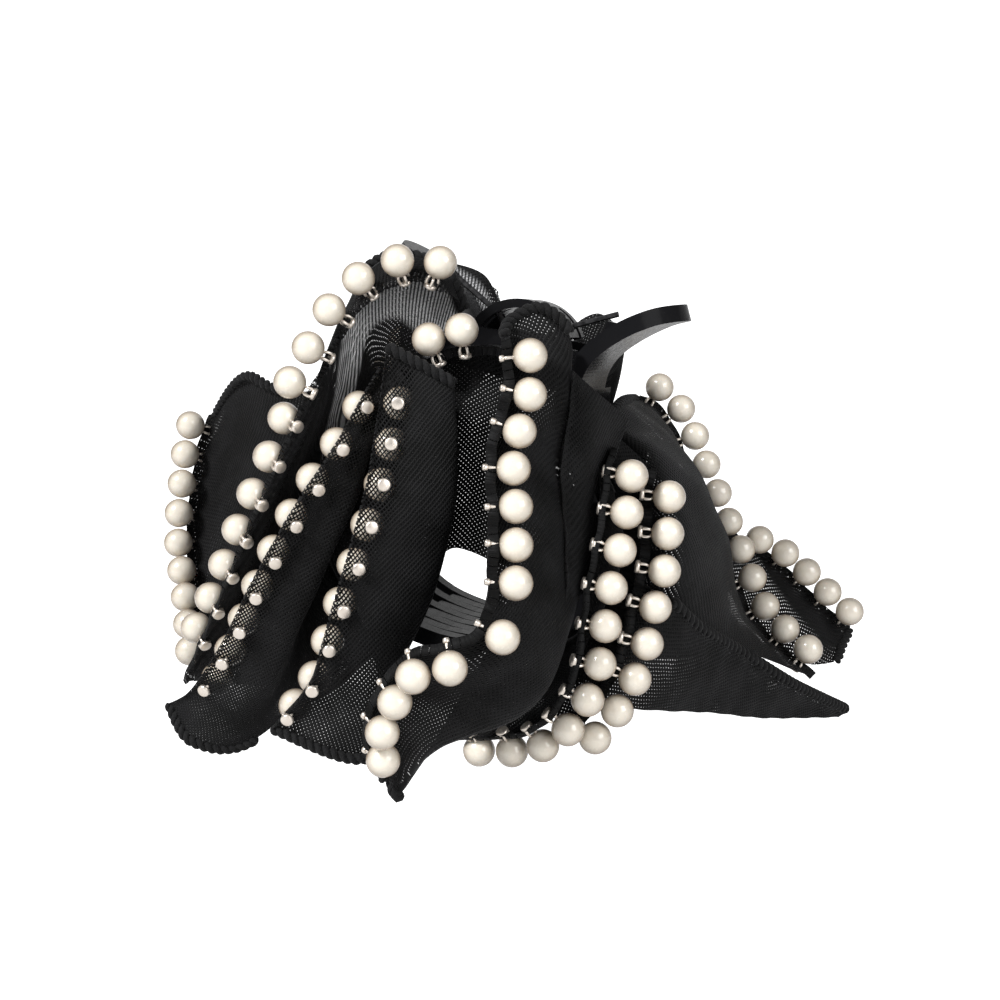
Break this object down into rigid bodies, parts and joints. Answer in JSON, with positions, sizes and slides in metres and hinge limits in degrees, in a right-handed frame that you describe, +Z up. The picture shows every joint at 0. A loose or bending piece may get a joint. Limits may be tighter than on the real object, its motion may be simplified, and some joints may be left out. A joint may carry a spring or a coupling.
{
  "type": "claw clip",
  "caption": "Sprung claw clip with two toothed jaws and finger levers, dressed with nested mesh ruffles whose edges carry riveted pearls.",
  "frame": {"origin": "middle of the footprint, on the surface that the clip rests on", "axes": "+Z up, hinge axis along Y, +X across the clip, the way its levers lean as it rests"},
  "size_m": [0.1179, 0.0864, 0.0842],
  "materials": {
    "plastic": "glossy black injection-moulded plastic",
    "steel": "blackened spring steel",
    "mesh": "fine black mesh cloth, sheer in a single layer",
    "cord": "twisted black cord binding",
    "pearl": "cream imitation pearl with a soft lustre",
    "rivet": "champagne silver plated rivets"
  },
  "bodies": {
    "left_half": {"left_jaw": "plastic", "hinge_pin": "steel", "torsion_spring": "steel", "left_ruffle_1": "mesh", "left_ruffle_2": "mesh", "left_ruffle_3": "mesh", "left_ruffle_4": "mesh", "left_collar": "mesh", "left_pearls_1": "pearl", "left_pearls_2": "pearl", "left_pearls_3": "pearl", "left_pearls_4": "pearl", "left_pearls_collar": "pearl", "left_pearls_back": "pearl", "left_rivets_1": "rivet", "left_rivets_2": "rivet", "left_rivets_3": "rivet", "left_rivets_4": "rivet", "left_rivets_collar": "rivet", "left_rivets_back": "rivet", "left_cords": "cord"},
    "right_half": {"right_jaw": "plastic", "right_ruffle_1": "mesh", "right_ruffle_2": "mesh", "right_ruffle_3": "mesh", "right_ruffle_4": "mesh", "right_skirt": "mesh", "right_tongue": "mesh", "right_pearls_1": "pearl", "right_pearls_2": "pearl", "right_pearls_3": "pearl", "right_pearls_4": "pearl", "right_pearls_tongue": "pearl", "right_pearls_back": "pearl", "right_rivets_1": "rivet", "right_rivets_2": "rivet", "right_rivets_3": "rivet", "right_rivets_4": "rivet", "right_rivets_tongue": "rivet", "right_rivets_back": "rivet", "right_cords": "cord"}
  },
  "joints": [
    {"name": "jaw_hinge", "type": "hinge", "parent": "left_half", "child": "right_half", "pos_m": [0.0071, -0.0008, 0.06596], "axis": [0, -1, 0], "range_deg": [0, 45], "stiffness_Nm_per_rad": 0.15, "springref_deg": -57.3, "deforming": ["torsion_spring"]}
  ]
}
